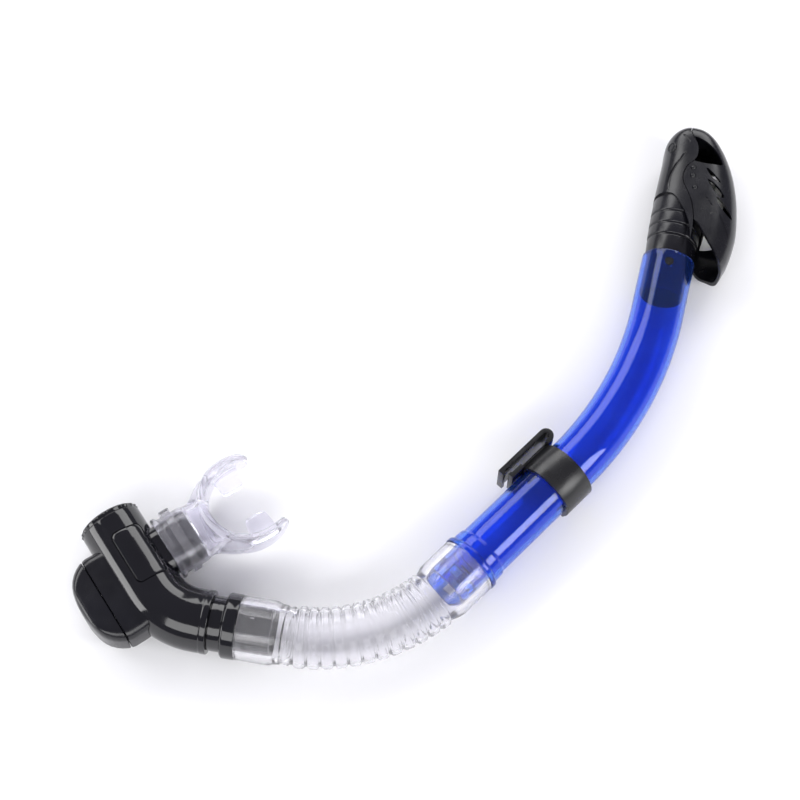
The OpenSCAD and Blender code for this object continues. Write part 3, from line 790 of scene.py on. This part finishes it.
def keeper_arms():
    """Two arms joined by a round end: the inner one on the ring, the outer one beside it."""
    inner, wall = TUBE_R + 0.4, 2.0
    outer = inner + wall + STRAP_GAP
    end_r = STRAP_GAP / 2 + wall
    x_end, mid = ARM_END - end_r, inner + end_r
    arc = [-math.pi / 2 + math.pi * k / 20 for k in range(21)]
    loop = [(ARM_START, inner)]
    loop += [(x_end + end_r * math.cos(a), mid + end_r * math.sin(a)) for a in arc]
    loop += [(OUTER_ARM_START, outer + wall), (OUTER_ARM_START, outer - 1.0),
             (40.6, outer - 1.0), (40.6, outer)]
    loop += [(x_end + STRAP_GAP / 2 * math.cos(a), mid + STRAP_GAP / 2 * math.sin(a))
             for a in reversed(arc)]
    loop += [(42.6, inner + wall), (42.6, inner + wall + 0.6),
             (ARM_START, inner + wall + 0.6)]
    return prism("arms", loop, -ARM_HALF_H, ARM_HALF_H, AT_FLANGE)


# ---------------------------------------------------------------- dry top


TOP_LEFT = smooth_curve([(-7, 11.2), (4, 11.4), (12, 12.0), (20, 12.4), (27, 12.8), (40, 12.7),
                         (52, 12.6), (58, 12.8), (62, 12.4), (65.5, 10.9), (68.2, 8.4),
                         (70.0, 5.6), (71.0, 3.0), (71.3, 1.3)])
TOP_RIGHT = smooth_curve([(-7, -23.6), (-3, -25.4), (0.5, -26.5), (4.3, -27.6), (12, -28.6),
                          (18.8, -28.8), (28, -27.8), (38.3, -25.8), (48.5, -22.6),
                          (57.3, -18.3), (63.5, -13.9), (67.5, -9.4), (69.8, -5.2),
                          (71.0, -1.2), (71.3, 0.7)])
SEAM = smooth_curve([(-12, -7.6), (8.7, -7.5), (14.5, -7.3), (20.2, -6.4), (25.7, -4.8),
                     (30.0, -2.8), (33.6, -0.6), (36.7, 1.2), (39.6, 2.0), (43.2, 1.8),
                     (46.5, 0.7), (49.1, -1.4), (52.3, -2.9), (56.5, -2.7), (59.8, -1.4),
                     (62.5, 0.8), (66, 2.4), (69, 2.4), (76, 1.0)])
BAND_EDGE = smooth_curve([(30.8, 9.0), (30.2, 5.6), (27.5, 2.4), (24, -0.2), (20, -2.9),
                          (15.1, -5.2), (8.5, -6.9), (2, -7.6)])
WIDE_GROOVE = [(54.0, 2.7), (52.6, 3.4), (50.1, 4.5), (46.7, 6.2), (43.0, 7.4), (39.8, 8.1),
               (35.6, 8.0), (31.6, 7.3)]
TOP_GROOVE = [(63.2, 6.0), (61.6, 3.9), (59.1, 1.6)]
DIMPLES = [(45.4, -2.0), (41.0, -2.5), (34.8, -4.6)]
INTAKE = [(62.6, 0.4), (62.0, -3.6), (59.6, -8.6), (55.8, -12.9), (51.3, -15.5), (49.7, -12.0),
          (49.0, -6.4), (49.4, -1.6), (51.5, -2.7), (55.7, -2.5), (59.0, -1.2)]
SLOTS = [[(46.5, -8.1), (46.4, -9.6), (43.9, -13.0), (41.0, -16.2), (41.0, -14.0), (43.2, -10.6)],
         [(40.3, -9.8), (40.1, -12.2), (37.2, -16.3), (33.7, -19.3), (32.9, -17.5), (35.1, -14.0)],
         [(32.3, -15.6), (31.5, -17.8), (27.9, -22.0), (23.9, -25.0), (24.2, -22.7),
          (27.9, -17.9)]]
CHEVRONS = [[(31.0, -9.8), (30.0, -11.4), (25.9, -15.2)], [(21.9, -13.6), (23.6, -15.6),
            (23.9, -17.4)], [(23.8, -18.2), (18.6, -21.6), (13.4, -24.8)]]


def top_height(u):
    end = max(0.0, u - (TOP_END - 14)) / 14.05
    return 14.3 * math.sqrt(max(0.0, 1 - end ** 6))


def top_ring(u, inset=0.0, count=112):
    """Cross-section ring of the whole dry top: flat-topped, with round sides."""
    left, right = looked_up(TOP_LEFT, u) - inset, looked_up(TOP_RIGHT, u) + inset
    mid, span = (left + right) / 2, (left - right) / 2
    height = top_height(u) - inset
    ring = []
    for k in range(count):
        a = 2 * math.pi * (k + 0.5) / count
        ca, sa = math.cos(a), math.sin(a)
        ring.append((u, mid + span * math.copysign(abs(ca) ** 0.74, ca),
                     height * math.copysign(abs(sa) ** 0.74, sa)))
    return ring


def top_z(u, v):
    """Height of the dry top's upper face over its axis."""
    left, right = looked_up(TOP_LEFT, u), looked_up(TOP_RIGHT, u)
    x = min(1.0, abs(v - (left + right) / 2) / ((left - right) / 2))
    return top_height(u) * (1 - x ** 2.7) ** (1 / 2.7)


def on_top(points, lift, side):
    return [(u, v, side * (top_z(u, v) + lift)) for u, v in points]


def top_shell(name):
    """Hollow shell of the whole dry top, before it is split along the seam."""
    steps = 96
    rings = [top_ring(-7 + (TOP_END - 0.05 + 7) * (1 - (1 - k / steps) ** 1.7))
             for k in range(steps + 1)]
    inner = [top_ring(-9 + (TOP_END - 3.5 + 9) * k / 40, SHELL_T) for k in range(41)]
    shell = loft(name, rings, AT_TOP)
    return boolean(shell, [loft("hollow", inner, AT_TOP)])


def seam_side(name, hood):
    """Everything on one side of the seam, half the gap away from it."""
    shift = -SEAM_GAP / 2 if hood else SEAM_GAP / 2
    far = -40 if hood else 40
    return prism(name, [(u, v + shift) for u, v in SEAM] + [(76, far), (-12, far)], -20, 20, AT_TOP)


def mirrored_grooves(name, lines):
    """Groove cutters on the upper and the lower face, for (points, radius, lift) lines."""
    return [swept_bar(f"{name}_{i}_{side}", on_top(smooth_curve(points), lift, side), radius, AT_TOP)
            for i, (points, radius, lift) in enumerate(lines) for side in (-1, 1)]


def dry_top_base():
    """Ringed collar, spigot in the tube, valve column, upper housing and its round boss."""
    seat = 45.0
    outline = fillet([
        (-20, TUBE_BORE - 0.05, 0.5), (0, TUBE_BORE - 0.05), (0, 11.3, 0.3), (8.3, 11.9, 0.3),
        (8.8, 11.3), (9.3, 11.4), (9.7, 12.1, 0.4), (14.5, 12.3, 0.3), (15.0, 11.7), (15.4, 11.8),
        (15.8, 12.4, 0.4), (20.9, 12.5, 0.3), (21.4, 11.9), (21.8, 12.0), (22.2, 12.6, 0.4),
        (seat, 12.6, 0.5), (seat, 9.0, 0.5), (-20, 9.0, 0.4)])
    column = turned("dry_top_column", densify(outline, 6), AT_TOP, STRAIGHT, 96)
    shell = top_shell("upper_housing")
    keep = seam_side("keep", False)
    boolean(shell, [keep], "INTERSECT")
    below = prism("below", [(-12, 20), (30.8, 20)] + BAND_EDGE + [(-12, -9)], -20, 20, AT_TOP)
    boolean(shell, [below])
    boolean(shell, mirrored_grooves("groove", [(WIDE_GROOVE, 0.8, 0.2), (TOP_GROOVE, 0.55, 0.1)]),
            sharp=40)
    boolean(column, [shell] + [boss(side) for side in (-1, 1)], "UNION", 40)
    return install(column, SATIN_BLACK, "barrel", ["dry_top_base"])


def boss(side):
    """Low round boss with a ring line, square to the housing's surface."""
    u, v, small = 56.4, 9.9, 0.2
    here = Vector((u, v, top_z(u, v)))
    along = Vector((small, 0, top_z(u + small, v) - here.z))
    across = Vector((0, small, top_z(u, v + small) - here.z))
    normal = along.cross(across).normalized()
    over = normal.cross(Vector((1, 0, 0))).normalized()
    third = normal.cross(over)
    turn = Matrix((normal, over, third)).transposed().to_4x4()
    place = Matrix.Translation(here * MM) @ turn
    if side < 0:
        place = Matrix.Scale(-1, 4, Vector((0, 0, 1))) @ place
    outline = fillet([(-1.2, 0.0), (-1.2, 2.75), (0.3, 2.75, 0.25), (0.3, 2.1, 0.2), (-0.1, 2.0),
                      (-0.1, 1.7), (0.25, 1.6, 0.2), (0.25, 0.0)])
    return turned(f"boss_{side}", outline, AT_TOP @ place, STRAIGHT, 48)


def dry_top_hood():
    """Hood with its slanted mouth, the air intake, leaf-shaped slots, dimples and chevrons."""
    shell = top_shell("dry_top_hood_shell")
    boolean(shell, [seam_side("keep", True)], "INTERSECT")
    upper = smooth_curve([(30, 3), (19.0, -5.6), (16.5, -9.5), (13, -12.6), (7, -17.6),
                          (1.5, -22.2), (-5, -28)], steps=4)
    lower = smooth_curve([(30, 3), (18.5, -7.5), (11, -10.3), (3.6, -12.9), (0.2, -16.2),
                          (-1.6, -20.6), (-8, -28)], steps=4)
    mouth = loft("mouth", [[(u, v, 18) for u, v in upper] + [(-25, -28, 18), (-25, 3, 18)],
                           [(u, v, -18) for u, v in lower] + [(-25, -28, -18), (-25, 3, -18)]],
                 AT_TOP)
    cuts = [mouth, prism("intake", smooth_curve(INTAKE, True, 4), -20, 20, AT_TOP)]
    cuts += [prism(f"slot_{i}", smooth_curve(slot, True, 5), -20, 20, AT_TOP)
             for i, slot in enumerate(SLOTS)]
    cuts += [ball(f"dimple_{i}_{side}", (u, v, side * (top_z(u, v) + 0.5)), 1.5, AT_TOP)
             for i, (u, v) in enumerate(DIMPLES) for side in (-1, 1)]
    cuts += mirrored_grooves("chevron", [(line, 0.4, 0.05) for line in CHEVRONS])
    boolean(shell, cuts, sharp=40)
    return install(shell, SATIN_BLACK, "barrel", ["dry_top_hood"])


# ---------------------------------------------------------------- stage, camera and light


def stage():
    """Pale floor under the snorkel."""
    size = 3.0
    mesh = bpy.data.meshes.new("floor")
    mesh.from_pydata([(-size, -size, 0), (size, -size, 0), (size, size, 0), (-size, size, 0)],
                     [], [(0, 1, 2, 3)])
    floor = bpy.data.objects.new("floor", mesh)
    bpy.context.scene.collection.objects.link(floor)
    mat, nodes, links, shader, place = node_tree("floor_paper")
    links.new(tinted(nodes, links, noise(nodes, links, place, 8), (0.93, 0.93, 0.935),
                     (0.95, 0.95, 0.955)), shader.inputs["Base Color"])
    shader.inputs["Roughness"].default_value = 0.9
    floor.data.materials.append(mat)
    floor.location.z = -0.0001


def aimed(obj, eye, target, up=(0, 0, 1)):
    back = (Vector(eye) - Vector(target)).normalized()
    side = Vector(up).cross(back).normalized()
    over = back.cross(side)
    turn = Matrix((side, over, back)).transposed().to_4x4()
    obj.matrix_world = Matrix.Translation(eye) @ turn


def softbox(name, about, azimuth, elevation, distance, size, radiance):
    """Area light seen from one point in a direction, its power set from how bright it looks."""
    a, e = math.radians(azimuth), math.radians(elevation)
    toward = Vector((math.cos(a) * math.cos(e), math.sin(a) * math.cos(e), math.sin(e)))
    light = bpy.data.lights.new(name, "AREA")
    light.shape = "RECTANGLE"
    light.size, light.size_y = size
    light.energy = radiance * size[0] * size[1] * math.pi
    obj = bpy.data.objects.new(name, light)
    bpy.context.scene.collection.objects.link(obj)
    aimed(obj, Vector(about) + toward * distance, Vector(about))
    return obj


VIEW_AZIMUTH, VIEW_ELEVATION = 45.076, 66.0


def camera():
    """Camera at the photograph's angle, beyond the flange's side of the snorkel."""
    data = bpy.data.cameras.new("camera")
    data.sensor_width = 36.0
    data.lens = 81.9
    data.clip_end = 20
    obj = bpy.data.objects.new("camera", data)
    bpy.context.scene.collection.objects.link(obj)
    a, e = math.radians(VIEW_AZIMUTH), math.radians(VIEW_ELEVATION)
    eye = AT_FLANGE.translation + Vector((-206.14, -162.52, 764.89)) * MM
    look = Vector((math.sin(a) * math.cos(e), math.cos(a) * math.cos(e), -math.sin(e)))
    aimed(obj, eye, eye + look)
    bpy.context.scene.camera = obj


def lights():
    """Two key boxes for the highlights, and a ring of soft ones that lifts the floor."""
    world = bpy.data.worlds.new("studio")
    world.use_nodes = True
    background = world.node_tree.nodes["Background"]
    background.inputs["Color"].default_value = (0.86, 0.85, 1.0, 1)
    background.inputs["Strength"].default_value = 0.3
    bpy.context.scene.world = world
    tube, barrel = (0.0, -0.058, 0.02), (-0.15, 0.05, 0.02)
    softbox("right_box", tube, -70.5, 30, 1.3, (0.4, 0.6), 9.0)
    softbox("left_box", barrel, 150, 14, 1.2, (0.6, 0.5), 5.0)
    for i, azimuth in enumerate((20, 65, 110, 200, 245)):
        softbox(f"ring_box_{i}", (0, 0, 0.02), azimuth, 34, 2.2, (1.3, 1.1), 3.7)
    bpy.context.scene.view_settings.view_transform = "Standard"


# ---------------------------------------------------------------- assembly


def inner_parts():
    """CAD pieces that stay, most of them seen only through openings or clear parts."""
    finishes = {
        "float": FLOAT_WHITE, "float_arm": FLOAT_WHITE, "valve_seal": SOFT_SEAL, "arm_pin": STEEL,
        "tube_lock_pin": SATIN_BLACK, "swivel_o_ring": RUBBER, "end_cap_o_ring": RUBBER,
        "purge_seat": SATIN_BLACK, "purge_membrane": SOFT_SEAL,
    }
    for name, mat in finishes.items():
        dress(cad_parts[name], mat)


blue_tube()
silicone_hose()
connector()
chamber()
cover_panel()
end_cap()
purge_housing()
purge_cover()
mouthpiece()
mouth_tie()
keeper()
dry_top_base()
dry_top_hood()
inner_parts()
stage()
camera()
lights()
